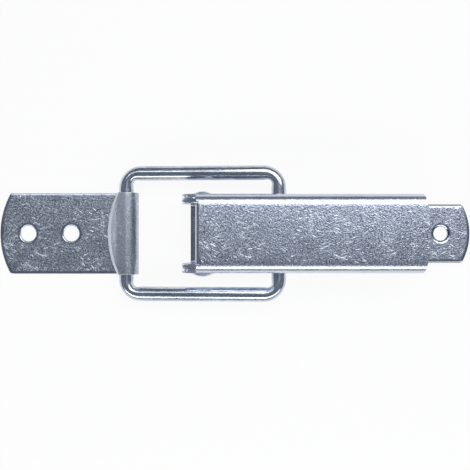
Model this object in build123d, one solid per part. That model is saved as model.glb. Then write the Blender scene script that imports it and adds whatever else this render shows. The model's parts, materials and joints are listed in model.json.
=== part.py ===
from build123d import *
import os
from math import asin, cos, degrees, pi, radians, sqrt

# Over centre toggle latch, closed.  A wire bail hangs in the walls of a channel lever
# and pulls on the rolled hook of a catch plate.  The lever turns on a through rivet in
# the ears of a base plate, and the bail's pull passes below that rivet, so it stays shut.
#
# Frame in mm: +X from the catch plate to the lever's free end, Y across, +Z up from the
# faces that the two plates are screwed to.  The origin is under the middle of the latch.

# Stock
sheet = 1.5                # thickness of the three pressed pieces
wire = 5.0                 # bail wire, diameter
pin = 5.0                  # rivet shank, diameter
sheet_corner = 0.8         # plan corners of the plates
edge_break = 0.4           # along the upper edges of the plates
near = 0.01                # how closely an edge or corner is matched when it is picked

# Fits
hook_fit = 0.25            # between the wire and the inside of the hook
bail_fit = 0.15            # round the wire in the lever's walls
pin_fit = 0.05             # round the rivet in the ears and the lugs
side_fit = 0.2             # between an ear and the lever wall beside it
head_fit = 0.1             # between a rivet head and the lever wall

# Linkage, closed
pivot_height = 8.0         # rivet above the mounting faces
bail_hole_height = 7.5     # bail's axis in the lever above the mounting faces
crank_run = 25.9           # rivet back to the bail's axis in the lever
bail_length = 52.5         # between the two crossbars, on their centrelines
bail_width = 41.5          # between the two arms, on their centrelines
bail_corner = 5.2          # bends of the wire, on its centreline
bail_end_gap = 4.0         # between the wire's two ends, inside the lever
wire_end_chamfer = 0.5

# Catch plate
catch_width = 28.0
catch_reach = 44.5         # rounded end to the wire in the hook
catch_end_radius = 29.0
catch_hole = 5.5
catch_hole_break = 0.3
catch_hole_margin = 9.8    # rounded end to the first hole
catch_hole_spacing = 15.0
lip_flat = 1.0             # lip past the top of the roll, before it lifts
lip_lift_radius = 14.0
lip_lift_angle = 18.0
lip_rim_radius = 34.0

# Base plate
base_width = 20.0
base_front_run = 4.5       # rivet forward to the plate's front edge
base_reach = 93.0          # rivet back to the rounded end
base_end_radius = 20.5
base_hole = 5.0
base_hole_break = 0.6
rear_hole_margin = 10.1    # rounded end to the rear hole
front_hole_run = 14.0      # rivet back to the hole under the lever
ear_radius = 7.0
ear_bend = 0.5             # inside radius
ear_toe_run = 1.5          # rivet forward to the front of the ears' feet
ear_heel_run = 9.0         # rivet back to the end of the ears' feet
ear_break = 0.3            # round the outer edges of the ears

# Lever
lever_top = 17.8           # height of its upper face
lever_bend = 1.5           # inside radius
wall_foot = 1.0            # height of the lower edge of its walls
lever_front_run = 0.95     # rivet forward to the upper face's front edge
wall_front_run = 1.8       # rivet forward to the front of its bends
front_notch_corner = 0.4
lever_length = 76.0        # upper face, front edge to the end
lever_end_radius = 55.0
wall_rear_rake = 4.0       # how far the walls' ends lean forward at the foot
wall_rear_corner = 4.5
lug_root = 1.2             # rounding between a lug and the front of its wall

# Rivet
formed_head = 7.6
formed_head_height = 1.4
peened_head = 6.2
peened_head_height = 1.1
head_land = 0.2            # straight rim under each dome

# Places that follow
wire_height = sheet + hook_fit + wire / 2
bail_slope = degrees(asin((bail_hole_height - wire_height) / bail_length))
bail_run = bail_length * cos(radians(bail_slope))
overall_length = catch_reach + bail_run - crank_run + base_reach
catch_end_x = -overall_length / 2
wire_x = catch_end_x + catch_reach
bail_axis_x = wire_x + bail_run
pivot_x = bail_axis_x - crank_run
base_end_x = pivot_x + base_reach
base_front_x = pivot_x - base_front_run
ear_face = base_width / 2 + sheet
wall_centre = ear_face + side_fit + sheet / 2
wall_face = wall_centre + sheet / 2
lug_radius = pivot_height - wall_foot
lever_front_x = pivot_x - lever_front_run
lever_end_x = lever_front_x + lever_length
pivot = Vector(pivot_x, 0, pivot_height)
bail_axis = Vector(bail_axis_x, 0, bail_hole_height)


def end_sagitta(width, radius):
    """How far an arc of this radius stands out over a strip of this width."""
    return radius - sqrt(radius**2 - (width / 2) ** 2)


def strip_outline(square_x, round_x, width, radius):
    """Plan of a strip, cut square at one end and to an arc at the other."""
    way = 1 if round_x > square_x else -1
    corner_x = round_x - way * end_sagitta(width, radius)
    half = width / 2
    outline = make_face(
        [
            Line((square_x, -half), (corner_x, -half)),
            ThreePointArc((corner_x, -half), (round_x, 0), (corner_x, half)),
            Line((corner_x, half), (square_x, half)),
            Line((square_x, half), (square_x, -half)),
        ]
    )
    corners = outline.vertices().sort_by(Axis.X, reverse=way < 0)[-2:]
    return fillet(corners, sheet_corner)


def across(face, width):
    """Side view face, drawn as (X, Z), carried across the latch about its middle."""
    return extrude(Plane.XZ * face, width / 2, both=True)


def along(face, x_from, x_to):
    """Cross section face, drawn as (Y, Z), carried along the latch."""
    return Pos(x_from, 0, 0) * extrude(Plane.YZ * face, x_to - x_from)


def cross_hole(centre, diameter, width):
    """Cutter for a hole across the latch."""
    return Pos(*centre) * Rot(90, 0, 0) * Cylinder(diameter / 2, width)


def long_rims(part, width):
    """Upper edges along both sides of a flat strip."""
    lines = part.edges().filter_by(GeomType.LINE)
    at_top = [edge for edge in lines if abs(edge.center().Z - sheet) < near]
    return [edge for edge in at_top if abs(abs(edge.center().Y) - width / 2) < near]


def punch(part, x, diameter, hole_break):
    """Punched screw hole through a plate, with its upper edge broken."""
    part -= Pos(x, 0, sheet / 2) * Cylinder(diameter / 2, 2 * sheet)
    circles = part.edges().filter_by(GeomType.CIRCLE)
    upper = circles.sort_by_distance((x + diameter / 2, 0, sheet))[0]
    return chamfer(upper, hole_break)


def rivet_dome(diameter, height):
    """Domed rivet head on a short straight rim, standing on Z = 0."""
    rise = height - head_land
    ball = ((diameter / 2) ** 2 + rise**2) / (2 * rise)
    dome = split(Pos(0, 0, rise - ball) * Sphere(ball), Plane.XY, keep=Keep.TOP)
    rim = Cylinder(diameter / 2, head_land, align=(Align.CENTER, Align.CENTER, Align.MIN))
    return rim + Pos(0, 0, head_land) * dome


def make_catch_plate():
    """Strip rolled up and back over the wire, with its lip lifted to let the wire in."""
    roll = wire / 2 + hook_fit + sheet / 2
    flat = Line((catch_end_x, sheet / 2), (wire_x, sheet / 2))
    hook = CenterArc((wire_x, wire_height), roll, -90, 180)
    lip = Line(hook @ 1, hook @ 1 - (lip_flat, 0))
    lift = JernArc(lip @ 1, (-1, 0), lip_lift_radius, -lip_lift_angle)
    strip = across(trace([flat, hook, lip, lift], sheet), catch_width)
    plan = strip_outline(wire_x + roll + sheet, catch_end_x, catch_width, catch_end_radius)
    strip &= extrude(plan, lever_top)
    lip_end_x = (lift @ 1).X
    lip_plan = strip_outline(wire_x + roll + sheet, lip_end_x, catch_width, lip_rim_radius)
    behind_lip = Pos(catch_end_x, 0) * Rectangle(2 * (wire_x - catch_end_x), 2 * catch_width)
    strip -= Pos(0, 0, wire_height) * extrude(behind_lip - lip_plan, lever_top)
    strip = chamfer(long_rims(strip, catch_width), edge_break)
    first_hole_x = catch_end_x + catch_hole_margin
    strip = punch(strip, first_hole_x, catch_hole, catch_hole_break)
    return punch(strip, first_hole_x + catch_hole_spacing, catch_hole, catch_hole_break)


def make_base_plate():
    """Flat strip with two ears folded up beside its front end to carry the rivet."""
    plate = extrude(strip_outline(base_front_x, base_end_x, base_width, base_end_radius), sheet)
    plate = chamfer(long_rims(plate, base_width), edge_break)
    ear_centre = ear_face - sheet / 2
    ear_top = pivot_height + ear_radius
    fold = FilletPolyline(
        (-ear_centre, ear_top),
        (-ear_centre, sheet / 2),
        (ear_centre, sheet / 2),
        (ear_centre, ear_top),
        radius=ear_bend + sheet / 2,
    )
    heel_x = pivot_x + ear_heel_run
    channel = along(trace(fold, sheet), pivot_x - ear_radius, heel_x)
    head = CenterArc((pivot_x, pivot_height), ear_radius, 0, 360)
    ear = make_hull([head, Line((pivot_x - ear_toe_run, 0), (heel_x, 0))])
    plate += channel & across(ear, 2 * ear_face)
    arcs = plate.edges().filter_by(GeomType.CIRCLE)
    outer = [edge for edge in arcs if abs(abs(edge.center().Y) - ear_face) < near]
    plate = chamfer([edge for edge in outer if edge.length > pi * ear_radius], ear_break)
    plate -= cross_hole(pivot, pin + 2 * pin_fit, 4 * ear_face)
    plate = punch(plate, base_end_x - rear_hole_margin, base_hole, base_hole_break)
    return punch(plate, pivot_x + front_hole_run, base_hole, base_hole_break)


def lever_side():
    """Side view of the lever: round lugs in front, curved and rounded ends behind."""
    front_x = pivot_x - wall_front_run
    bend_height = lever_top - sheet - lever_bend
    rear_x = lever_end_x - end_sagitta(2 * wall_face, lever_end_radius)
    toe = (rear_x - wall_rear_rake, wall_foot)
    rear = TangentArc((rear_x, bend_height), toe, tangent=(0, -1))
    rest = Polyline(
        toe,
        (pivot_x, wall_foot),
        (pivot_x, pivot_height),
        (front_x, pivot_height),
        (front_x, lever_top),
        (lever_end_x, lever_top),
        (lever_end_x, bend_height),
        (rear_x, bend_height),
    )
    wall = make_face([rear, rest])
    wall = fillet(wall.vertices().sort_by_distance((*toe, 0))[0], wall_rear_corner)
    side = wall + Pos(pivot_x, pivot_height) * Circle(lug_radius)
    lug_top = pivot_height + sqrt(lug_radius**2 - wall_front_run**2)
    root = side.vertices().sort_by_distance((front_x, lug_top, 0))[0]
    return fillet(root, lug_root)


def lever_front():
    """Plan of the cut that sets the upper face's front edge behind its bends."""
    half = wall_face - sheet - lever_bend
    shoulder_x = pivot_x - wall_front_run
    front = make_face(
        Polyline(
            (shoulder_x - lug_radius, -2 * half),
            (shoulder_x, -2 * half),
            (shoulder_x, -half),
            (lever_front_x, -half),
            (lever_front_x, half),
            (shoulder_x, half),
            (shoulder_x, 2 * half),
            (shoulder_x - lug_radius, 2 * half),
            close=True,
        )
    )
    steps = [corner for corner in front.vertices() if abs(abs(corner.Y) - half) < near]
    return fillet(steps, front_notch_corner)


def make_lever():
    """Channel with its walls outside the ears, lugs on the rivet and holes for the bail."""
    top_centre = lever_top - sheet / 2
    fold = FilletPolyline(
        (-wall_centre, wall_foot),
        (-wall_centre, top_centre),
        (wall_centre, top_centre),
        (wall_centre, wall_foot),
        radius=lever_bend + sheet / 2,
    )
    lug_front_x = pivot_x - lug_radius
    channel = along(trace(fold, sheet), lug_front_x, lever_end_x)
    lever = channel & across(lever_side(), 2 * wall_face)
    wide = 2 * wall_face + 4 * sheet_corner
    lever &= extrude(strip_outline(lug_front_x, lever_end_x, wide, lever_end_radius), lever_top)
    lever -= Pos(0, 0, pivot_height + lug_radius) * extrude(lever_front(), lever_top)
    lever -= cross_hole(pivot, pin + 2 * pin_fit, 4 * wall_face)
    lever -= cross_hole(bail_axis, wire + 2 * bail_fit, 4 * wall_face)
    return lever


def make_bail():
    """Closed wire loop, its two ends pushed into the lever's walls from both sides."""
    half = bail_width / 2
    loop = FilletPolyline(
        (bail_length, bail_end_gap / 2),
        (bail_length, half),
        (0, half),
        (0, -half),
        (bail_length, -half),
        (bail_length, -bail_end_gap / 2),
        radius=bail_corner,
    )
    lie = Pos(wire_x, 0, wire_height) * Rot(0, -bail_slope, 0)
    path = lie * loop
    section = Plane(path @ 0, z_dir=path % 0) * Circle(wire / 2)
    bail = sweep(section, path)
    ends = bail.edges().filter_by(GeomType.CIRCLE).sort_by(lambda edge: abs(edge.center().Y))[:2]
    return chamfer(ends, wire_end_chamfer)


def make_pivot_rivet():
    """Through rivet: a formed head on one side, its other end peened over."""
    grip = 2 * (wall_face + head_fit)
    shank = Cylinder(pin / 2, grip)
    top = Pos(0, 0, grip / 2) * rivet_dome(formed_head, formed_head_height)
    tail = Rot(180, 0, 0) * Pos(0, 0, grip / 2) * rivet_dome(peened_head, peened_head_height)
    return Pos(*pivot) * Rot(90, 0, 0) * (shank + top + tail)


sub_parts = {
    "catch_plate": make_catch_plate,
    "base_plate": make_base_plate,
    "lever": make_lever,
    "bail": make_bail,
    "pivot_rivet": make_pivot_rivet,
}

os.makedirs("parts", exist_ok=True)
for name, make in sub_parts.items():
    export_step(make(), f"parts/{name}.step")
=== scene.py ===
import json
from functools import reduce
from math import acos, asin, atan2, cos, degrees, hypot, pi, radians, sin, sqrt

import bpy
import numpy as np
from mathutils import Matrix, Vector


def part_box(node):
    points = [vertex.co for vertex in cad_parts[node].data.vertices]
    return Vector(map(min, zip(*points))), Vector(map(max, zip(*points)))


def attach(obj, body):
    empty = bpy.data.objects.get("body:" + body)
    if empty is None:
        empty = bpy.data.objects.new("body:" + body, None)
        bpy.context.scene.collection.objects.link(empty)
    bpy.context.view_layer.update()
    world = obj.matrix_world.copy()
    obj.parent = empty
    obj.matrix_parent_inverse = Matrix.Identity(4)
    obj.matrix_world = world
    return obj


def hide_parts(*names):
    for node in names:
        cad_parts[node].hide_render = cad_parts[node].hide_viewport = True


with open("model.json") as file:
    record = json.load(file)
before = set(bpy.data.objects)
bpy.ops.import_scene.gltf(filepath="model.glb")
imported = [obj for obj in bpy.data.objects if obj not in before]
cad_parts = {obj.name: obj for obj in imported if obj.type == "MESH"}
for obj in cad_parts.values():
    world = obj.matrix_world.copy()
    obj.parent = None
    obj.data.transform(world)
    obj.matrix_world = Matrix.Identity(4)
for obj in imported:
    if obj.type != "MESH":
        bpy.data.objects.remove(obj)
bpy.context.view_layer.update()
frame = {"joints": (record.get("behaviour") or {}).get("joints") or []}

# Over centre toggle latch, bright zinc plated.  Every piece is a surface worked out here, in
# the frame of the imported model, and stands for the solid of the same piece.
#
# Lengths are in metres.  A sheet piece is drawn flat first, as its blank: u runs along the
# latch and v across it.  Then it is folded.

mm = 0.001
hair = 1e-9                                  # two places closer than this are one place

# Stock, and what the punch does to its edges: (width, depth) of the rounding beside a cut.
# Where there are two such pairs, the tight rounding is added to the wide one.
sheet = 1.5 * mm
wire = 5.0 * mm
pin = 5.0 * mm
burr = (0.12 * mm, 0.10 * mm)
catch_roll = (1.20 * mm, 0.18 * mm, 0.16 * mm, 0.06 * mm)
base_roll = (1.20 * mm, 0.24 * mm, 0.35 * mm, 0.10 * mm)
plate_lean = (1.30 * mm, 0.10 * mm)
ear_roll = (0.30 * mm, 0.30 * mm)
catch_hole_roll = (0.60 * mm, 0.30 * mm)
base_hole_roll = (1.15 * mm, 0.50 * mm)
pin_hole_roll = (0.20 * mm, 0.12 * mm)

# Where a grid steps across a rounding, as shares of its width
roll_steps = np.array([0, 0.03, 0.09, 0.18, 0.30, 0.44, 0.60, 0.78, 1.0])

# Places and reaches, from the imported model
joints = {joint["name"]: joint["pos_m"] for joint in frame["joints"]}
pivot_x, _, pivot_z = joints["lever_swing"]
bail_axis_x, _, bail_axis_z = joints["bail_swing"]
hook_x, _, hook_z = joints["catch_swing"]
catch_low, catch_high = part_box("catch_plate")
base_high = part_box("base_plate")[1]
lever_low, lever_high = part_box("lever")
bail_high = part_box("bail")[1]

# Catch plate
catch_end_radius = 29.0 * mm
plate_corner = 0.8 * mm
catch_hole_radius = 2.75 * mm
catch_hole_runs = (9.8 * mm, 24.8 * mm)      # from the rounded end
lip_flat = 2.2 * mm
lip_lift_radius = 6.6 * mm
lip_lift_angle = 27.0
lip_slant = 32.0                             # how far the lip's cut leans off square, in degrees
lip_rim_radius = 34.0 * mm
fine_before_fold = 2.0 * mm                  # the grid is fine from this far before the half turn

# Base plate, lengths along it from the rivet
base_front = -4.5 * mm
base_end_radius = 20.5 * mm
base_hole_radius = 2.5 * mm
front_hole = 14.0 * mm
rear_hole_margin = 10.1 * mm
ear_bend = 0.5 * mm                          # inside radius
ear_toe = -1.5 * mm
ear_heel = 9.0 * mm
ear_clear = 0.8 * mm                         # from the ears to the front hole's patch
pin_hole_radius = 2.55 * mm

# Lever, lengths along it from the rivet
lever_crown = 2.0                            # how far the top leans at its bends, in degrees
lever_shoulder = (27.0, 4.7 * mm)           # lean where the bend tightens, and its radius up to there
lever_bend = 2.85 * mm                       # radius from there on; both to the sheet's middle
lever_front = -0.95 * mm
wall_front = -1.8 * mm
lever_step = 10.3 * mm                       # where the front edge steps from one to the other
lever_end_radius = 55.0 * mm
wall_rear_rake = 4.0 * mm
wall_rear_corner = 4.5 * mm
lug_root = 1.2 * mm
edge_keep = 1.0 * mm                         # the top's grid follows its end whole for this far,
fade_run = 10.0 * mm                         # and then less and less over this length
wire_hole_radius = 2.65 * mm

# Bail and rivet
bail_corner = 5.2 * mm
bail_end_gap = 4.0 * mm
bail_nip = 0.7 * mm                          # flattening on the inside of each corner
wire_end_round = 0.5 * mm
formed_head = (7.6 * mm, 1.4 * mm)           # diameter, height
peened_head = (6.2 * mm, 1.1 * mm)
head_land = 0.2 * mm
head_break = 0.05 * mm
head_fit = 0.1 * mm

# Meshes
path_samples = 12001
ring_points = 97
wire_points = 49
rivet_points = 65
points_at_once = 4000
blank_weld = 1e-7
mesh_weld = 1e-8
crease_angle = 35                            # in degrees; sharper corners stay sharp


# ---------------------------------------------------------------- curves and grids


def fold_path(start, runs):
    """Middle line of a folded sheet that sets out along its first axis.

    Each run is (length, turn in degrees).  The heading is the running sum of the turns, the
    place is the running sum of the heading's direction, and the normal lies to its left."""
    lengths, turns = np.array(runs, float).T
    marks = np.concatenate([[0], np.cumsum(lengths)])
    along = np.linspace(0, marks[-1], path_samples)
    heading = np.radians(np.interp(along, marks, np.concatenate([[0], np.cumsum(turns)])))
    middle = (heading[1:] + heading[:-1]) / 2
    moves = np.column_stack([np.cos(middle), np.sin(middle)]) * along[1]
    place = np.vstack([start, np.asarray(start) + np.cumsum(moves, axis=0)])

    def at(length):
        """Place and normal at these lengths along the path."""
        turn = np.interp(length, along, heading)
        first = np.interp(length, along, place[:, 0])
        second = np.interp(length, along, place[:, 1])
        return first, second, -np.sin(turn), np.cos(turn)

    return at


def channel_place(section):
    """The fold of a sheet that is bent across, alike on both sides.

    The section is a fold_path of y and z.  It is read at v without its sign, and y then takes
    the sign, while x is u measured from the rivet."""

    def place(u, v):
        y, z, normal_y, normal_z = section(np.abs(v))
        side = np.where(v < 0, -1, 1)
        point = np.column_stack([pivot_x + u, side * y, z])
        return point, np.column_stack([0 * u, side * normal_y, normal_z])

    return place


def spaced(start, end, count, lead=0.0, tail=0.0):
    """Values from start to end, in `count` even steps between fine ones at the ends.

    The fine steps cover `lead` and `tail`.  Start and end may be arrays: each column of the
    result is then spaced by itself."""
    start, end = np.broadcast_arrays(np.asarray(start, float), np.asarray(end, float))
    shape = (-1,) + (1,) * start.ndim
    head = start + (roll_steps * lead if lead else np.zeros(1)).reshape(shape)
    foot = end - (roll_steps[::-1] * tail if tail else np.zeros(1)).reshape(shape)
    share = np.linspace(0, 1, count + 1)[1:-1].reshape(shape)
    return np.concatenate([head, head[-1] + (foot[0] - head[-1]) * share, foot])


def arc(centre, radius, start, end, count):
    """Points of a circle's arc between two angles in degrees."""
    turn = np.radians(np.linspace(start, end, count))
    return np.column_stack([centre[0] + radius * np.cos(turn), centre[1] + radius * np.sin(turn)])


def line(start, end, count):
    """Even points from one point to another, with the last left out."""
    share = np.linspace(0, 1, count + 1)[:-1, None]
    return np.asarray(start) + (np.asarray(end) - np.asarray(start)) * share


def ring(centre, radius):
    """Closed outline of a round hole."""
    return arc(centre, radius, 0, 360, ring_points)


def sagitta(half_width, radius):
    """How far an arc falls back at this half width: its radius less the other leg."""
    return radius - np.sqrt(radius**2 - half_width**2)


def touch_angle(point, centre, radius, side):
    """Angle, in degrees, at which a line from a point touches a circle on the given side."""
    away = (point[0] - centre[0], point[1] - centre[1])
    return degrees(atan2(away[1], away[0]) + side * acos(radius / hypot(*away)))


def round_end(end_u, way, half, radius):
    """Outline of a strip's end, from its -v side to its +v side: corner, end arc, corner.

    The corner's circle touches the side and the end arc from within, so its centre lies a
    corner from the side, and the end's radius less a corner from the end's centre."""
    centre_u = end_u - way * radius
    corner_v = half - plate_corner
    reach = radius - plate_corner
    corner_u = centre_u + way * sqrt(reach**2 - corner_v**2)
    lean = degrees(asin(corner_v / reach))
    corner = arc((0, 0), plate_corner, lean, 90, 9)
    end = arc((0, 0), radius, -lean, lean, 49)[1:-1]
    lower = corner[::-1] * (way, -1) + (corner_u, -corner_v)
    upper = corner * (way, 1) + (corner_u, corner_v)
    return np.vstack([lower, end * (way, 1) + (centre_u, 0), upper])


def strip_patch(u, v, place):
    """Patch whose rows lie at each v and whose columns lie at each u."""
    shape = (len(v), len(u))
    return np.broadcast_to(u, shape), np.broadcast_to(v[:, None], shape), place


def hole_patch(centre, radius, outline, lead, tail, place):
    """Patch between a round hole and the outline round it, which turns from u to v.

    Each point of the outline has a straight ray from the hole's centre.  The rows are spaced
    along the rays, from the hole's radius to the outline."""
    ray = outline - centre
    reach = np.hypot(ray[:, 0], ray[:, 1])
    distance = spaced(radius, reach, 10, lead, tail)
    u = centre[0] + ray[:, 0] / reach * distance
    v = centre[1] + ray[:, 1] / reach * distance
    u[-1], v[-1] = outline.T
    u, v = (np.hstack([grid, grid[:, :1]])[::-1] for grid in (u, v))
    return u, v, place


def other_side(patches):
    """The same patches across the latch's middle line."""
    return [(u[::-1], -v[::-1], place) for u, v, place in patches]


# ---------------------------------------------------------------- meshes


def grid_faces(rows, columns):
    """Quads of a grid whose points are numbered row by row."""
    number = np.arange(rows * columns).reshape(rows, columns)
    corners = [number[:-1, :-1], number[:-1, 1:], number[1:, 1:], number[1:, :-1]]
    return np.stack(corners, axis=-1).reshape(-1, 4)


def merge(points, quads, tolerance):
    """Points that coincide made one: the kept points' numbers, and the quads renumbered."""
    key = np.round(points / tolerance).astype(np.int64)
    _, kept, number = np.unique(key, axis=0, return_index=True, return_inverse=True)
    return kept, number.reshape(-1)[quads]


def put_piece(name, points, quads, readings):
    """Smooth mesh with creases kept at its corners; quads pinched at a pole become triangles."""
    kept, quads = merge(points, quads, mesh_weld)
    pinched = quads == np.roll(quads, -1, axis=1)
    whole = quads[~pinched.any(axis=1)]
    at_pole = quads[pinched.sum(axis=1) == 1]
    triangles = at_pole[at_pole != np.roll(at_pole, -1, axis=1)].reshape(-1, 3)
    corners = np.concatenate([whole.ravel(), triangles.ravel()])
    sizes = np.concatenate([np.full(len(whole), 4), np.full(len(triangles), 3)])
    mesh = bpy.data.meshes.new(name)
    mesh.vertices.add(len(kept))
    mesh.vertices.foreach_set("co", points[kept].astype(np.float32).ravel())
    mesh.loops.add(len(corners))
    mesh.loops.foreach_set("vertex_index", corners.astype(np.int32))
    mesh.polygons.add(len(sizes))
    mesh.polygons.foreach_set("loop_start", (np.cumsum(sizes) - sizes).astype(np.int32))
    for reading, values in readings.items():
        kind, field = ("FLOAT_VECTOR", "vector") if values.ndim == 2 else ("FLOAT", "value")
        attribute = mesh.attributes.new(reading, kind, "POINT")
        attribute.data.foreach_set(field, values[kept].astype(np.float32).ravel())
    mesh.update(calc_edges=True)
    mesh.validate()
    mesh.shade_smooth()
    mesh.set_sharp_from_angle(angle=radians(crease_angle))
    piece = bpy.data.objects.new(name, mesh)
    bpy.context.scene.collection.objects.link(piece)
    return piece


def gap_to(points, outline):
    """Distance from each blank point to the nearest straight part of an outline.

    The nearest place of a part is the point's shadow on it, held between the part's ends."""
    step = np.diff(outline, axis=0)
    span = np.maximum((step**2).sum(axis=1), hair**2)
    nearest = []
    for some in np.array_split(points, len(points) // points_at_once + 1):
        away = some[:, None, :] - outline[None, :-1]
        share = np.clip((away * step).sum(axis=2) / span, 0, 1)
        nearest.append(np.sqrt(((away - share[..., None] * step) ** 2).sum(axis=2)).min(axis=1))
    return np.concatenate(nearest)


def rolled(gap, size):
    """Drop of a skin beside a cut: half a parabola for each width and depth, summed."""
    pairs = zip(size[::2], size[1::2])
    return sum(depth * np.clip(1 - gap / width, 0, 1) ** 2 for width, depth in pairs)


def sheet_piece(name, patches, cuts):
    """Closed skin of a punched and folded sheet.

    A patch is a grid of blank points and the fold that places them on the sheet's middle.
    A cut is an outline and the rounding that it leaves in the upper and in the lower skin.
    Each skin lies half the sheet from the middle, less the rounding beside the nearest cut.
    A wall joins the two skins along each side that only one quad has.  Two readings go on
    the mesh: cut_gap, the distance to a cut in millimetres, and stock, which is u, v and the
    height above the sheet's middle."""
    sizes = [u.size for u, _, _ in patches]
    first = np.cumsum([0] + sizes[:-1])
    quads = np.vstack([grid_faces(*u.shape) + start for (u, _, _), start in zip(patches, first)])
    blank = np.vstack([np.column_stack([u.ravel(), v.ravel()]) for u, v, _ in patches])
    placed = [place(u.ravel(), v.ravel()) for u, v, place in patches]
    middle = np.vstack([point for point, _ in placed])
    normal = np.vstack([up for _, up in placed])
    kept, quads = merge(blank, quads, blank_weld)
    blank, middle, normal = blank[kept], middle[kept], normal[kept]
    gaps = [gap_to(blank, outline) for outline, _, _ in cuts]
    upper_drop = np.max([rolled(gap, size) for gap, (_, size, _) in zip(gaps, cuts)], axis=0)
    lower_drop = np.max([rolled(gap, size) for gap, (_, _, size) in zip(gaps, cuts)], axis=0)
    upper = middle + normal * (sheet / 2 - upper_drop)[:, None]
    lower = middle - normal * (sheet / 2 - lower_drop)[:, None]
    start, end = quads.ravel(), np.roll(quads, -1, axis=1).ravel()
    count = len(blank)
    side = np.minimum(start, end).astype(np.int64) * count + np.maximum(start, end)
    _, side_of, uses = np.unique(side, return_inverse=True, return_counts=True)
    open_side = uses[side_of.reshape(-1)] == 1
    a, b = start[open_side], end[open_side]
    wall = np.stack([b, a, a + count, b + count], axis=-1)
    faces = np.vstack([quads, quads[:, ::-1] + count, wall])
    height = np.full((count, 1), sheet / 2)
    stock = np.vstack([np.hstack([blank, height]), np.hstack([blank, -height])])
    readings = {"cut_gap": np.tile(np.min(gaps, axis=0) / mm, 2), "stock": stock}
    return put_piece(name, np.vstack([upper, lower]), faces, readings)


# ---------------------------------------------------------------- pressed pieces


def make_catch_plate():
    """Strip folded along u: flat, half a turn round the wire, then a lip lifted at its end.

    Two patches hold the screw holes, one the plain strip and the half turn, and the last the
    lip, whose columns run from its start to its curved rim."""
    roll_radius = catch_high.x - hook_x - sheet / 2
    flat = hook_x - catch_low.x
    lip_start = flat + pi * roll_radius + lip_flat
    lip_end = lip_start + lip_lift_radius * radians(lip_lift_angle)
    runs = [(flat, 0), (pi * roll_radius, 180), (lip_flat, 0), (lip_end - lip_start, -lip_lift_angle)]
    path = fold_path((catch_low.x, sheet / 2), runs)
    half = catch_high.y
    rim = round_end(lip_end, 1, half, lip_rim_radius)

    def place(u, v):
        """Point and normal; at the lip's rim the normal is sheared towards it by the cut's slant."""
        x, z, normal_x, normal_z = path(u)
        to_rim = np.interp(v, rim[:, 1], rim[:, 0]) - u
        slant = np.tan(radians(lip_slant)) * np.clip(1 - to_rim / sheet, 0, 1)
        normal = np.column_stack([normal_x + slant * normal_z, 0 * v, normal_z - slant * normal_x])
        return np.column_stack([x, v, z]), normal

    near, far = catch_hole_runs
    between = (near + far) / 2
    past = 2 * far - between
    across = spaced(-half, half, 36, catch_roll[0], catch_roll[0])
    end = round_end(0, -1, half, catch_end_radius)
    first = np.vstack([
        end[::-1],
        line(end[0], (between, -half), 22),
        np.column_stack([np.full(len(across), between), across])[:-1],
        line((between, half), end[-1], 22),
    ])[1:]
    second = np.vstack([
        line((between, -half), (past, -half), 26),
        np.column_stack([np.full(len(across), past), across])[:-1],
        line((past, half), (between, half), 26),
        np.column_stack([np.full(len(across), between), across])[:0:-1],
    ])
    rim_u = np.interp(across, rim[:, 1], rim[:, 0])
    roll_start = flat - fine_before_fold
    along = np.concatenate([spaced(past, roll_start, 14)[:-1], spaced(roll_start, lip_start, 56)])
    lip_u = spaced(np.full(len(across), lip_start), rim_u, 8, 0, 4 * burr[0]).T
    lead = catch_hole_roll[0]
    patches = [
        hole_patch((near, 0), catch_hole_radius, first, lead, catch_roll[0], place),
        hole_patch((far, 0), catch_hole_radius, second, lead, catch_roll[0], place),
        strip_patch(along, across, place),
        (lip_u, np.broadcast_to(across[:, None], lip_u.shape), place),
    ]
    rolled_rim = np.vstack([rim, end[::-1]])
    sharp_side = np.vstack([end[:1], rim[:1]])
    cuts = [(rolled_rim, catch_roll, burr), (sharp_side, plate_lean, burr)]
    cuts += [(ring((u, 0), catch_hole_radius), catch_hole_roll, burr) for u in catch_hole_runs]
    return sheet_piece("catch_plate_sheet", patches, cuts)


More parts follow.
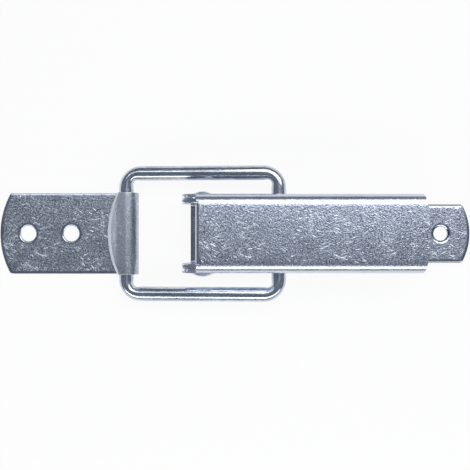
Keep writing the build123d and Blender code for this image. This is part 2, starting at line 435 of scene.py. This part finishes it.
def make_base_plate():
    """Flat strip whose ears are folded up beside the rivet.

    An ear is the hull of a circle about the rivet and its foot, so each of its sides is the
    line from the foot's end that touches that circle."""
    half = base_high.y - sheet
    ear_y = base_high.y - sheet / 2
    fold_radius = ear_bend + sheet / 2
    fold_start = ear_y - fold_radius
    fold_end = fold_start + pi / 2 * fold_radius
    fold_top = sheet / 2 + fold_radius
    ear_radius = base_high.z - pivot_z
    section = fold_path(
        (0, sheet / 2), [(fold_start, 0), (fold_end - fold_start, 90), (base_high.z - fold_top, 0)]
    )
    place = channel_place(section)
    pin_v = fold_end + pivot_z - fold_top
    toe_angle = touch_angle((ear_toe, 0), (0, pivot_z), ear_radius, -1)
    heel_angle = touch_angle((ear_heel, 0), (0, pivot_z), ear_radius, 1)

    def ear_side(foot, angle, z):
        """Where the ear's side, from its foot to the circle, lies at a height."""
        touch_u = ear_radius * cos(radians(angle))
        touch_z = pivot_z + ear_radius * sin(radians(angle))
        return foot + (touch_u - foot) * z / touch_z

    toe_u = ear_side(ear_toe, toe_angle, sheet / 2)
    heel_u = ear_side(ear_heel, heel_angle, sheet / 2)
    cell_front = heel_u + ear_clear
    cell_back = 2 * front_hole - cell_front
    end_u = base_high.x - pivot_x
    rear_hole = end_u - rear_hole_margin
    rear_cell = rear_hole - rear_hole_margin

    in_fold = spaced(toe_u, heel_u, 16, ear_roll[0], ear_roll[0])
    front_u = np.concatenate([spaced(base_front, toe_u, 3, base_roll[0]), in_fold[1:], [cell_front]])
    core = spaced(-fold_start, fold_start, 32, base_roll[0], base_roll[0])
    margin = spaced(fold_start, half, 5)
    across = np.concatenate([-margin[:0:-1], core, margin[1:]])
    end = round_end(end_u, 1, half, base_end_radius)

    def column(u):
        """The strip's rows at one place along it."""
        return np.column_stack([np.full(len(across), u), across])

    front_cell = np.vstack([
        line((cell_front, -half), (cell_back, -half), 18),
        column(cell_back)[:-1],
        line((cell_back, half), (cell_front, half), 18),
        column(cell_front)[:0:-1],
    ])
    end_cell = np.vstack([
        line((rear_cell, -half), end[0], 26),
        end,
        line(end[-1], (rear_cell, half), 26)[1:],
        column(rear_cell)[:0:-1],
    ])
    fold_v = np.linspace(fold_start, fold_end, 9)
    fold_z = section(fold_v)[1]
    fold_toe = ear_side(ear_toe, toe_angle, fold_z)
    fold_heel = ear_side(ear_heel, heel_angle, fold_z)
    share = (in_fold - toe_u) / (heel_u - toe_u)
    fold_u = fold_toe[:, None] + (fold_heel - fold_toe)[:, None] * share
    head = arc((0, pin_v), ear_radius, heel_angle, toe_angle + 360, 60)
    ear = np.vstack([
        np.column_stack([fold_u[-1], np.full(len(in_fold), fold_end)])[:-1],
        line((fold_heel[-1], fold_end), head[0], 10),
        head,
        line(head[-1], (fold_toe[-1], fold_end), 4)[1:],
    ])
    one_side = [
        (fold_u, np.broadcast_to(fold_v[:, None], fold_u.shape), place),
        hole_patch((0, pin_v), pin_hole_radius, ear, pin_hole_roll[0], ear_roll[0], place),
        strip_patch(front_u[front_u <= toe_u + hair], margin, place),
        strip_patch(front_u[front_u >= heel_u - hair], margin, place),
    ]
    lead = base_hole_roll[0]
    patches = one_side + other_side(one_side) + [
        strip_patch(front_u, core, place),
        hole_patch((front_hole, 0), base_hole_radius, front_cell, lead, base_roll[0], place),
        strip_patch(spaced(cell_back, rear_cell, 30), across, place),
        hole_patch((rear_hole, 0), base_hole_radius, end_cell, lead, base_roll[0], place),
    ]
    rolled_rim = np.vstack([end, [(heel_u, half), (heel_u, fold_start)]])
    sharp_side = np.vstack([[(heel_u, -fold_start), (heel_u, -half)], end[:1]])
    front_rim = np.array([
        (toe_u, -fold_start), (toe_u, -half), (base_front, -half), (base_front, half), (toe_u, half),
        (toe_u, fold_start),
    ])
    ear_rim = np.vstack([
        np.column_stack([fold_heel, fold_v]), head, np.column_stack([fold_toe, fold_v])[::-1],
    ])
    cuts = [(rolled_rim, base_roll, burr), (sharp_side, plate_lean, burr), (front_rim, base_roll, burr)]
    cuts += [(ear_rim * (1, side), ear_roll, burr) for side in (-1, 1)]
    cuts += [(ring((u, 0), base_hole_radius), base_hole_roll, burr) for u in (front_hole, rear_hole)]
    cuts += [(ring((0, side * pin_v), pin_hole_radius), burr, pin_hole_roll) for side in (-1, 1)]
    return sheet_piece("base_plate_sheet", patches, cuts)


def make_lever():
    """Channel: a slightly crowned top, and on each side a bend, a wall and a round lug.

    The bend is two arcs of one lean each: a wide shoulder, then the bend proper.  The top and
    its bends are one patch, whose ends follow the front and rear edges.  A wall is three
    patches: round the rivet's hole, round the wire's hole, and from there to the raked end."""
    top_z = lever_high.z - sheet / 2
    foot_z = lever_low.z
    crown = radians(lever_crown)
    shoulder = radians(lever_shoulder[0])
    shoulder_reach = lever_shoulder[1] * (sin(shoulder) - sin(crown))
    bend_reach = lever_bend * (1 - sin(shoulder))
    flat = (lever_high.y - sheet / 2 - shoulder_reach - bend_reach) * crown / sin(crown)
    fold_end = flat + lever_shoulder[1] * (shoulder - crown) + lever_bend * (pi / 2 - shoulder)
    runs = [
        (flat, -lever_crown),
        (lever_shoulder[1] * (shoulder - crown), lever_crown - lever_shoulder[0]),
        (lever_bend * (pi / 2 - shoulder), lever_shoulder[0] - 90),
        (top_z - foot_z, 0),
    ]
    section = fold_path((0, top_z), runs)
    place = channel_place(section)
    wall_z = float(section(fold_end)[1])
    foot = fold_end + wall_z - foot_z
    lug_radius = pivot_z - foot_z
    root_u = wall_front - lug_root
    root_z = pivot_z + sqrt((lug_radius + lug_root) ** 2 - root_u**2)
    touch_z = pivot_z + (root_z - pivot_z) * lug_radius / (lug_radius + lug_root)
    end_u = lever_high.x - pivot_x
    step = (lever_front - wall_front) / 2

    def wall_v(z):
        """Place across the blank of a height on the wall."""
        return fold_end + wall_z - z

    def front(v):
        """Front edge: over the top, then an S of two quarter circles, the lug's root, the lug."""
        _, z, _, _ = section(v)
        away = np.clip((v - lever_step) / step, -1, 1)
        edge = (lever_front + wall_front) / 2 - np.sign(away) * step * np.sqrt(1 - (1 - abs(away)) ** 2)
        root = root_u + np.sqrt(np.maximum(lug_root**2 - (root_z - z) ** 2, 0))
        lug_edge = -np.sqrt(np.maximum(lug_radius**2 - (z - pivot_z) ** 2, 0))
        return np.where(z < touch_z, lug_edge, np.where(z < root_z, root, edge))

    def rear(v):
        """Rear edge: an arc in plan, read at the outer skin."""
        y, _, normal_y, _ = section(v)
        return end_u - sagitta(y + normal_y * sheet / 2, lever_end_radius)

    first_u, last_u = float(front(fold_end)), float(rear(fold_end))
    bail_u = bail_axis_x - pivot_x
    lines = (bail_u / 2, 3 * bail_u / 2)
    along = np.concatenate([
        spaced(first_u, lines[0], 16, ear_roll[0])[:-1],
        spaced(*lines, 28)[:-1],
        spaced(lines[1], last_u, 34, 0, ear_roll[0]),
    ])
    curl = np.linspace(-1, 1, 15)
    half_rows = np.concatenate([
        np.linspace(0, lever_step - step, 26)[:-1],
        lever_step + step * curl * abs(curl),
        np.linspace(lever_step + step, fold_end, 25)[1:],
    ])
    rows = np.concatenate([-half_rows[:0:-1], half_rows])
    front_fade = np.clip(1 - (along - first_u - edge_keep) / fade_run, 0, 1)
    rear_fade = np.clip(1 - (last_u - along - edge_keep) / fade_run, 0, 1)
    front_fade, rear_fade = (fade**2 * (3 - 2 * fade) for fade in (front_fade, rear_fade))
    top_u = (
        along
        + (front(abs(rows)) - first_u)[:, None] * front_fade
        + (rear(abs(rows)) - last_u)[:, None] * rear_fade
    )

    down = spaced(fold_end, foot, 14, 0, ear_roll[0])
    pin_v, bail_v = wall_v(pivot_z), wall_v(bail_axis_z)
    lug_end = degrees(atan2(wall_z - pivot_z, first_u))
    lug = arc((0, pivot_z), lug_radius, 270, lug_end, 60)
    lug = np.column_stack([lug[:, 0], wall_v(lug[:, 1])])
    lug[-1] = (first_u, fold_end)

    def column(u):
        """The wall's rows at one place along it."""
        return np.column_stack([np.full(len(down), u), down])

    def top_line(low, high):
        """The wall's upper side between two places, at the columns of the top's grid."""
        some = along[(along >= low - hair) & (along <= high + hair)]
        return np.column_stack([some, np.full(len(some), fold_end)])

    lug_cell = np.vstack([
        top_line(first_u, lines[0])[:-1],
        column(lines[0])[:-1],
        line((lines[0], foot), (0, foot), 16),
        lug[:-1],
    ])
    bail_cell = np.vstack([
        top_line(*lines)[:-1],
        column(lines[1])[:-1],
        line((lines[1], foot), (lines[0], foot), 28),
        column(lines[0])[:0:-1],
    ])

    # The wall's raked end is an arc that leaves the bend upright, then a round corner.
    drop = wall_z - foot_z
    rake_radius = (wall_rear_rake**2 + drop**2) / (2 * wall_rear_rake)
    toe_z = foot_z + wall_rear_corner
    toe_u = last_u - rake_radius + sqrt((rake_radius - wall_rear_corner) ** 2 - (wall_z - toe_z) ** 2)
    toe_angle = degrees(atan2(toe_z - wall_z, toe_u - last_u + rake_radius))
    rake = arc((last_u - rake_radius, wall_z), rake_radius, 0, toe_angle, 40)
    toe = arc((toe_u, toe_z), wall_rear_corner, toe_angle, -90, 30)
    end = np.vstack([rake, toe[1:]])
    end = np.column_stack([end[:, 0], wall_v(end[:, 1])])
    run = np.concatenate([[0], np.cumsum(np.hypot(*np.diff(end, axis=0).T))])
    share = (down - fold_end) / (foot - fold_end) * run[-1]
    end_at = np.column_stack([np.interp(share, run, values) for values in end.T])
    end_at[0] = (last_u, fold_end)
    rear_along = (along[along >= lines[1] - hair] - lines[1]) / (last_u - lines[1])
    rear_u = lines[1] + (end_at[:, :1] - lines[1]) * rear_along
    rear_v = down[:, None] + (end_at[:, 1] - down)[:, None] * rear_along
    edge = ear_roll[0]
    one_side = [
        hole_patch((0, pin_v), pin_hole_radius, lug_cell, pin_hole_roll[0], edge, place),
        hole_patch((bail_u, bail_v), wire_hole_radius, bail_cell, pin_hole_roll[0], edge, place),
        (rear_u, rear_v, place),
    ]
    top = (top_u, np.broadcast_to(rows[:, None], top_u.shape), place)
    half_rim = np.vstack([
        np.column_stack([front(half_rows), half_rows]),
        lug[::-1],
        end[::-1],
        np.column_stack([rear(half_rows), half_rows])[::-1],
    ])
    cuts = []
    for side in (-1, 1):
        cuts += [(half_rim * (1, side), burr, burr), (lug * (1, side), burr, ear_roll)]
        cuts.append((ring((0, side * pin_v), pin_hole_radius), pin_hole_roll, burr))
        cuts.append((ring((bail_u, side * bail_v), wire_hole_radius), pin_hole_roll, burr))
    return sheet_piece("lever_sheet", [top] + one_side + other_side(one_side), cuts)


# ---------------------------------------------------------------- wire and rivet


def make_bail():
    """Round wire carried along its bent path.

    The path is the plan of the loop, straight runs joined by quarter circles, and the
    section is a circle square to it, flattened on the inside of a corner by the square of
    the sine of twice the heading.  At each end the circle shrinks by a quarter circle and
    closes."""
    run_x, run_z = bail_axis_x - hook_x, bail_axis_z - hook_z
    length = hypot(run_x, run_z)
    radius = wire / 2
    half = bail_high.y - radius
    inner = half - bail_corner
    far = length - bail_corner
    ends = line((length, bail_end_gap / 2), (length, inner), 10)
    one = np.vstack([
        ends,
        arc((far, inner), bail_corner, 0, 90, 19)[:-1],
        line((far, half), (bail_corner, half), 30),
        arc((bail_corner, inner), bail_corner, 90, 180, 19)[:-1],
        line((0, inner), (0, 0), 14),
    ])
    plan = np.vstack([one, [(0, 0)], one[::-1] * (1, -1)])
    step = np.gradient(plan, axis=0)
    ahead = step / np.hypot(step[:, 0], step[:, 1])[:, None]
    reach = np.concatenate([[0], np.cumsum(np.hypot(*np.diff(plan, axis=0).T))])
    lean = np.array([run_x, 0, run_z]) / length
    up = np.array([-run_z, 0, run_x]) / length
    aside = np.array([0, 1, 0])
    middle = np.array([hook_x, 0, hook_z]) + plan[:, :1] * lean + plan[:, 1:] * aside
    outward = ahead[:, 1:] * lean - ahead[:, :1] * aside

    turn = np.linspace(0, 2 * pi, wire_points)
    curl = np.linspace(0, pi / 2, 7)
    end_radius = np.concatenate([[0], radius - wire_end_round * (1 - np.sin(curl))])
    end_inset = np.concatenate([[0], wire_end_round * (1 - np.cos(curl))])
    rings = len(end_inset)
    size = np.concatenate([end_radius, np.full(len(plan) - 2, radius), end_radius[::-1]])
    copies = np.ones(len(plan), int)
    copies[[0, -1]] = rings
    middle = np.repeat(middle, copies, axis=0)
    middle[:rings, 1] += end_inset
    middle[-rings:, 1] -= end_inset[::-1]
    outward = np.repeat(outward, copies, axis=0)
    reach = np.repeat(reach, copies)
    nip = bail_nip * (2 * ahead[:, 0] * ahead[:, 1]) ** 2
    inside = ((1 - np.cos(turn)) / 2) ** 2
    sideways = size[:, None] * np.cos(turn) + np.repeat(nip, copies)[:, None] * inside
    upwards = size[:, None] * np.sin(turn)
    points = middle[:, None] + sideways[..., None] * outward[:, None] + upwards[..., None] * up
    stock = np.stack([np.broadcast_to(reach[:, None], sideways.shape), sideways, upwards], axis=-1)
    quads = grid_faces(*sideways.shape)[:, ::-1]
    return put_piece("bail_wire", points.reshape(-1, 3), quads, {"stock": stock.reshape(-1, 3)})


def make_rivet():
    """Turned shape: a profile of radius against length, carried round the rivet's axis.

    A head is a straight rim under a dome, which is an arc through the rim and the top."""
    grip = lever_high.y + head_fit

    def head(size):
        """Profile of a head from the pin to the middle of its dome: radius and place."""
        diameter, height = size
        rise = height - head_land
        ball = ((diameter / 2) ** 2 + rise**2) / (2 * rise)
        lean = np.linspace(asin(diameter / 2 / ball), 0, 18)
        ball_place = grip + head_land + rise - ball
        rim = [
            (pin / 2, grip),
            (diameter / 2 - head_break, grip),
            (diameter / 2, grip + head_break),
        ]
        return np.vstack([rim, np.column_stack([ball * np.sin(lean), ball_place + ball * np.cos(lean)])])

    profile = np.vstack([head(formed_head)[::-1] * (1, -1), head(peened_head)])
    turn = np.linspace(0, 2 * pi, rivet_points)
    x = profile[:, :1] * np.cos(turn)
    y = np.broadcast_to(profile[:, 1:], x.shape)
    z = profile[:, :1] * np.sin(turn)
    points = np.stack([pivot_x + x, y, pivot_z + z], axis=-1).reshape(-1, 3)
    stock = np.stack([y, x, z], axis=-1).reshape(-1, 3)
    return put_piece("pivot_rivet_turned", points, grid_faces(*x.shape)[:, ::-1], {"stock": stock})


# ---------------------------------------------------------------- zinc finishes

# Plate: the tone where nothing else acts, and the sizes and weights of what varies it
plain_tone = 0.41
plain_roughness = 0.36
fine_size, fine_weight = 0.40 * mm, 1.6
pebble_size, pebble_weight = 0.75 * mm, 1.1
cloud_size, cloud_weight = 7.0 * mm, 0.3
grain_roughness = 0.08
grain_depth = 0.05 * mm

# Scratches: (angle in degrees, length) of each kind, and what all kinds share
scratches = ((40, 2.8 * mm), (-44, 2.6 * mm), (20, 3.0 * mm), (-15, 3.0 * mm), (-66, 2.2 * mm))
scratch_width = 0.44 * mm
scratch_peak = (0.63, 0.75)                  # the range of noise over which a scratch appears
scratch_patch = (5.0 * mm, (0.57, 0.63))     # size of their patches, and the range of those
scratch_tone = 0.75
scratch_rise = 1.05                          # beside the grain's own height
scratch_cover = 0.6                          # how far a scratch wipes out the grain under it
scratch_polish = 0.06

# Flattening of the grain where the sheet is pressed, bent or near a cut; tones on a cut's face; and the
# painted light that makes the lip lighter
pressed_flat, bent_flat, edge_flat = 0.6, 0.85, 0.75
cut_face = (0.03, 0.01)                      # the range of gaps, in millimetres, that is the face
cut_polish = 0.18
shine_waver = 0.25 * mm                      # how unevenly the burnished part ends
shine_tone = 0.6
torn_grain = 1.2
torn_dullness = 0.95
# painted light: the lifted lip is painted lighter, standing in for the light that falls on it
lip_painted_light = 0.26

# Wire and rivet
drawn_squeeze = 0.12                         # the marks are noise squeezed to this along the wire
wire_grain_depth = 0.014 * mm


class Field:
    """A socket's value.  Arithmetic on it, with numbers or other fields, adds Math nodes."""

    def __init__(self, finish, socket):
        self.finish = finish
        self.socket = socket

    def math(self, operation, *values):
        return self.finish.node("ShaderNodeMath", {"operation": operation}, dict(enumerate(values)))

    def __add__(self, other):
        return self.math("ADD", self, other)

    def __sub__(self, other):
        return self.math("SUBTRACT", self, other)

    def __rsub__(self, other):
        return self.math("SUBTRACT", other, self)

    def __mul__(self, other):
        return self.math("MULTIPLY", self, other)

    __radd__ = __add__
    __rmul__ = __mul__

    def larger(self, other):
        return self.math("MAXIMUM", self, other)

    def step(self, low, high):
        """0 below low and 1 above high, or the other way round, smooth between."""
        inputs = {"Value": self, "From Min": low, "From Max": high}
        return self.finish.node("ShaderNodeMapRange", {"interpolation_type": "SMOOTHSTEP"}, inputs)


class Finish:
    """A material round one Principled shader; node() is the only way that a node is added."""

    def __init__(self, name, **uniform):
        self.material = bpy.data.materials.new(name)
        self.material.use_nodes = True
        self.tree = self.material.node_tree
        self.shader = self.tree.nodes["Principled BSDF"]
        for socket, value in uniform.items():
            self.shader.inputs[socket.replace("_", " ")].default_value = value

    def feed(self, socket, value):
        """Link a field to a socket, or set the socket to a plain value."""
        if isinstance(value, Field):
            self.tree.links.new(value.socket, socket)
        else:
            socket.default_value = value

    def surface(self, **looks):
        """What varies over the piece, by the shader's own socket names."""
        for socket, value in looks.items():
            self.feed(self.shader.inputs[socket.replace("_", " ")], value)

    def node(self, kind, settings, inputs, output=0):
        """A node of this type: its settings first, then its sockets.  Gives one output."""
        made = self.tree.nodes.new(kind)
        for key, value in settings.items():
            setattr(made, key, value)
        for key, value in inputs.items():
            self.feed(made.inputs[key], value)
        return Field(self, made.outputs[output])

    def stock(self):
        """Place in the blank, the piece's own vector reading."""
        return self.node("ShaderNodeAttribute", {"attribute_name": "stock"}, {}, "Vector")

    def cut_gap(self):
        """Distance to the nearest cut in millimetres, the piece's own reading."""
        return self.node("ShaderNodeAttribute", {"attribute_name": "cut_gap"}, {}, "Fac")

    def scaled(self, place, factors):
        return self.node("ShaderNodeVectorMath", {"operation": "MULTIPLY"}, {0: place, 1: factors})

    def noise(self, place, size, detail=2.0):
        """Noise from 0 to 1 whose features are about this size."""
        return self.node("ShaderNodeTexNoise", {}, {"Vector": place, "Scale": 1 / size, "Detail": detail})

    def strokes(self, place, angle, length):
        """Short scratches at an angle in the sheet, in patches.

        They are noise drawn out along them, its peaks kept, where a coarse noise is high."""
        inputs = {"Vector": place, "Angle": radians(angle)}
        turned = self.node("ShaderNodeVectorRotate", {"rotation_type": "Z_AXIS"}, inputs)
        drawn = self.scaled(turned, (1 / length, 1 / scratch_width, 1 / scratch_width))
        patch_size, patch_range = scratch_patch
        patches = self.noise(turned, patch_size, 1.0)
        return self.noise(drawn, 1.0, 0.0).step(*scratch_peak) * patches.step(*patch_range)

    def mix(self, factor, first, second):
        """Colour between two colours."""
        settings = {"data_type": "RGBA"}
        return self.node("ShaderNodeMix", settings, {0: factor, 6: (*first, 1), 7: (*second, 1)}, 2)

    def bump(self, depth, height):
        inputs = {"Strength": 1.0, "Distance": depth, "Height": height}
        return self.node("ShaderNodeBump", {}, inputs)


def zinc(name, dark, light, pressed, bent, lip, edge, polish, fold_painted_light, shine, torn_tone_and_painted_glint):
    """Bright zinc plate: a fine random grain, faint clouds, and short scratches that catch light.

    The colour goes from dark to light with the tone, which is the sum of grain, clouds,
    scratches and what follows.  pressed and lip are ranges along the blank, bent is one to each
    side of its middle line, edge one of gaps to a cut in millimetres, and shine one of heights
    on the cut's own face.  The grain lies nearly flat where the sheet is pressed or bent, and
    beside a cut: polish is how far the two lower the roughness, and fold_painted_light is the
    painted light that the first adds to the tone: a painted highlight where it is above nought,
    painted shade where it is below.  The lip is painted lighter, as painted light on the lifted
    lip.  The face of a cut is burnished in the range of shine; the rest of it is torn, which is
    dull, and torn_tone_and_painted_glint is added there: a darker torn face where it is below
    nought, and a pale face painted as a highlight where it is above."""
    finish = Finish(name)
    place = finish.stock()
    along, across, height = (
        finish.node("ShaderNodeSeparateXYZ", {}, {0: place}, axis) for axis in range(3)
    )
    smooth = along.step(*pressed)
    folded = (across * across).step(bent[0] ** 2, bent[1] ** 2)
    lip_light_mask = along.step(*lip)
    gap = finish.cut_gap()
    edged = gap.step(*edge)
    cut = gap.step(*cut_face)
    flattened = smooth.larger(folded)
    rough = 1 - (pressed_flat * smooth).larger(bent_flat * folded).larger(edge_flat * edged)

    fine = finish.noise(place, fine_size, 0.0)
    pebbles = finish.noise(place, pebble_size, 1.0)
    clouds = finish.noise(place, cloud_size)
    grain = (fine - 0.5) * fine_weight + (pebbles - 0.5) * pebble_weight
    marks = reduce(Field.larger, [finish.strokes(place, *kind) for kind in scratches]) * rough
    burnished = cut * (height + (pebbles - 0.5) * shine_waver).step(*shine)
    torn = cut - burnished

    tone = plain_tone + grain * rough + (clouds - 0.5) * cloud_weight + marks * scratch_tone
    # painted light: the tone is raised or lowered where the sheet is pressed or bent, and raised on the
    # lifted lip
    tone = tone + flattened * fold_painted_light + lip_light_mask * (1 - cut) * lip_painted_light
    # the torn face's tone is its own darker colour where the added tone is below nought; on the catch it
    # is pale, a painted highlight along the lip's rim
    tone = tone + burnished * shine_tone + torn * (torn_tone_and_painted_glint + (pebbles - 0.5) * torn_grain)
    polished = polish[0] * flattened + polish[1] * edged * (1 - smooth) + cut_polish * cut
    relief = (grain * (1 - scratch_cover * marks) + marks * scratch_rise) * rough
    finish.surface(
        Base_Color=finish.mix(tone, dark, light),
        Metallic=1 - torn_dullness * torn,
        Roughness=plain_roughness + grain * grain_roughness - marks * scratch_polish - polished,
        Normal=finish.bump(grain_depth, relief),
    )
    return finish.material


def drawn_zinc(name, dark, light, roughness):
    """Zinc on drawn wire and a turned rivet: smooth, with faint marks drawn along it."""
    finish = Finish(name, Metallic=1.0)
    place = finish.stock()
    lines = finish.noise(finish.scaled(place, (drawn_squeeze, 1, 1)), 0.35 * mm)
    speckle = finish.noise(place, 0.8 * mm)
    clouds = finish.noise(place, 6 * mm)
    tone = 0.5 + (lines - 0.5) * 1.4 + (speckle - 0.5) * 1.2 + (clouds - 0.5) * 1.0
    finish.surface(
        Base_Color=finish.mix(tone, dark, light),
        Roughness=roughness + (speckle - 0.5) * 0.1,
        Normal=finish.bump(wire_grain_depth, lines * 0.4 + speckle * 0.6),
    )
    return finish.material


def dress(piece, material, body, node):
    """Give a piece its material and its body, and have it stand for its solid."""
    piece.data.materials.append(material)
    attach(piece, body)
    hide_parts(node)


nowhere = (1.0, 1.1)                         # a range that lies past every piece
plate_dark = (0.175, 0.205, 0.295)
# The catch's fold is painted darker (painted shade), its lip painted lighter (painted light), and its cut
# face painted pale (a painted highlight along the lip's rim).
catch_zinc = zinc(
    "bright_zinc_catch", plate_dark, (0.86, 0.93, 1.0),
    pressed=(39 * mm, 41 * mm), bent=nowhere, lip=(48 * mm, 56 * mm), edge=(1.2, 0.7),
    polish=(0.03, 0.18), fold_painted_light=-0.08, shine=nowhere, torn_tone_and_painted_glint=0.9,
)
base_zinc = zinc(
    "bright_zinc_base", plate_dark, (0.80, 0.86, 0.96),
    pressed=(0.5 * mm, -0.5 * mm), bent=nowhere, lip=nowhere, edge=(1.2, 0.7),
    polish=(0.14, 0.16), fold_painted_light=0.0, shine=(0.35 * mm, 0.5 * mm), torn_tone_and_painted_glint=-0.5,
)
# The lever's bends and walls are painted lighter: a painted highlight.
lever_zinc = zinc(
    "bright_zinc_lever", (0.178, 0.208, 0.298), (0.82, 0.88, 0.985),
    pressed=nowhere, bent=(9 * mm, 10.5 * mm), lip=nowhere, edge=(0.3, 0.1),
    polish=(0.12, 0.0), fold_painted_light=0.28, shine=(0.25 * mm, 0.05 * mm), torn_tone_and_painted_glint=-0.5,
)
bail_zinc = drawn_zinc("bright_zinc_wire", (0.36, 0.40, 0.48), (0.76, 0.81, 0.90), 0.20)
rivet_zinc = drawn_zinc("bright_zinc_rivet", (0.46, 0.50, 0.56), (0.64, 0.68, 0.74), 0.2)
dress(make_catch_plate(), catch_zinc, "catch", "catch_plate")
dress(make_base_plate(), base_zinc, "base", "base_plate")
dress(make_lever(), lever_zinc, "lever", "lever")
dress(make_bail(), bail_zinc, "bail", "bail")
dress(make_rivet(), rivet_zinc, "base", "pivot_rivet")


# ---------------------------------------------------------------- floor, light and camera

camera_height = 251.5 * mm
camera_y = -0.5 * mm
view_width = 164.1 * mm                      # seen at the plates' upper faces
floor_reach = 2.0
floor_white = (0.92, 0.92, 0.92, 1)
glow_full = 0.12                             # the floor glows whole this far from its middle,
glow_end = 0.40                              # and no more from here on
glow_share = 0.92
studio_grey = (0.165, 0.183, 0.213, 1)
lamp_aim_z = 6 * mm


def make_camera():
    """Straight down, with a lens that takes in the view's width at the plates' upper faces."""
    camera = bpy.data.cameras.new("camera")
    camera.sensor_width = 36.0
    camera.lens = camera.sensor_width * (camera_height - sheet) / view_width
    seat = bpy.data.objects.new("camera", camera)
    seat.location = (0, camera_y, camera_height)
    bpy.context.scene.collection.objects.link(seat)
    bpy.context.scene.camera = seat


def make_floor():
    """White floor: near the latch it glows to the camera and in the metal, under a soft shadow.

    The glow fades with the distance from the middle, and leaves plain matt white."""
    mesh = bpy.data.meshes.new("floor")
    corners = [(x * floor_reach, y * floor_reach, 0) for x, y in ((-1, -1), (1, -1), (1, 1), (-1, 1))]
    mesh.from_pydata(corners, [], [(0, 1, 2, 3)])
    floor = bpy.data.objects.new("floor", mesh)
    bpy.context.scene.collection.objects.link(floor)
    finish = Finish("white_floor", Base_Color=floor_white, Roughness=1.0, Specular_IOR_Level=0.0)
    seen = finish.node("ShaderNodeLightPath", {}, {}, "Is Camera Ray")
    for ray in ("Is Glossy Ray", "Is Transmission Ray"):
        seen = seen.larger(finish.node("ShaderNodeLightPath", {}, {}, ray))
    place = finish.node("ShaderNodeTexCoord", {}, {}, "Object")
    away = finish.node("ShaderNodeVectorMath", {"operation": "LENGTH"}, {0: place}, "Value")
    glow = finish.node("ShaderNodeEmission", {}, {"Color": (1, 1, 1, 1), "Strength": 1.0})
    share = seen * away.step(glow_end, glow_full) * glow_share
    plain = Field(finish, finish.shader.outputs[0])
    both = finish.node("ShaderNodeMixShader", {}, {0: share, 1: plain, 2: glow})
    finish.feed(finish.tree.nodes["Material Output"].inputs["Surface"], both)
    mesh.materials.append(finish.material)


def softbox(name, size, radiance, seat):
    """Long lamp along x that stands at this seat and is turned towards the latch's middle line."""
    data = bpy.data.lights.new(name, "AREA")
    data.shape = "RECTANGLE"
    data.size, data.size_y = size
    data.energy = radiance * pi * size[0] * size[1]
    lamp = bpy.data.objects.new(name, data)
    lamp.location = seat
    lamp.rotation_euler = Vector((0, -seat[1], lamp_aim_z - seat[2])).to_track_quat("-Z", "Y").to_euler()
    lamp.visible_camera = False
    bpy.context.scene.collection.objects.link(lamp)


def make_world():
    """Plain grey studio."""
    world = bpy.data.worlds.new("studio")
    world.use_nodes = True
    world.node_tree.nodes["Background"].inputs["Color"].default_value = studio_grey
    bpy.context.scene.world = world


make_camera()
make_floor()
softbox("key", (0.50, 0.27), 2.7, (0.205, 0.230, 0.362))
softbox("key_strip", (0.26, 0.065), 2.6, (-0.175, 0.200, 0.370))
softbox("top", (0.20, 0.10), 0.35, (0.092, 0.0, 0.450))
softbox("fill", (0.60, 0.068), 3.3, (-0.05, -0.194, 0.128))
make_world()
bpy.context.scene.view_settings.view_transform = "Standard"
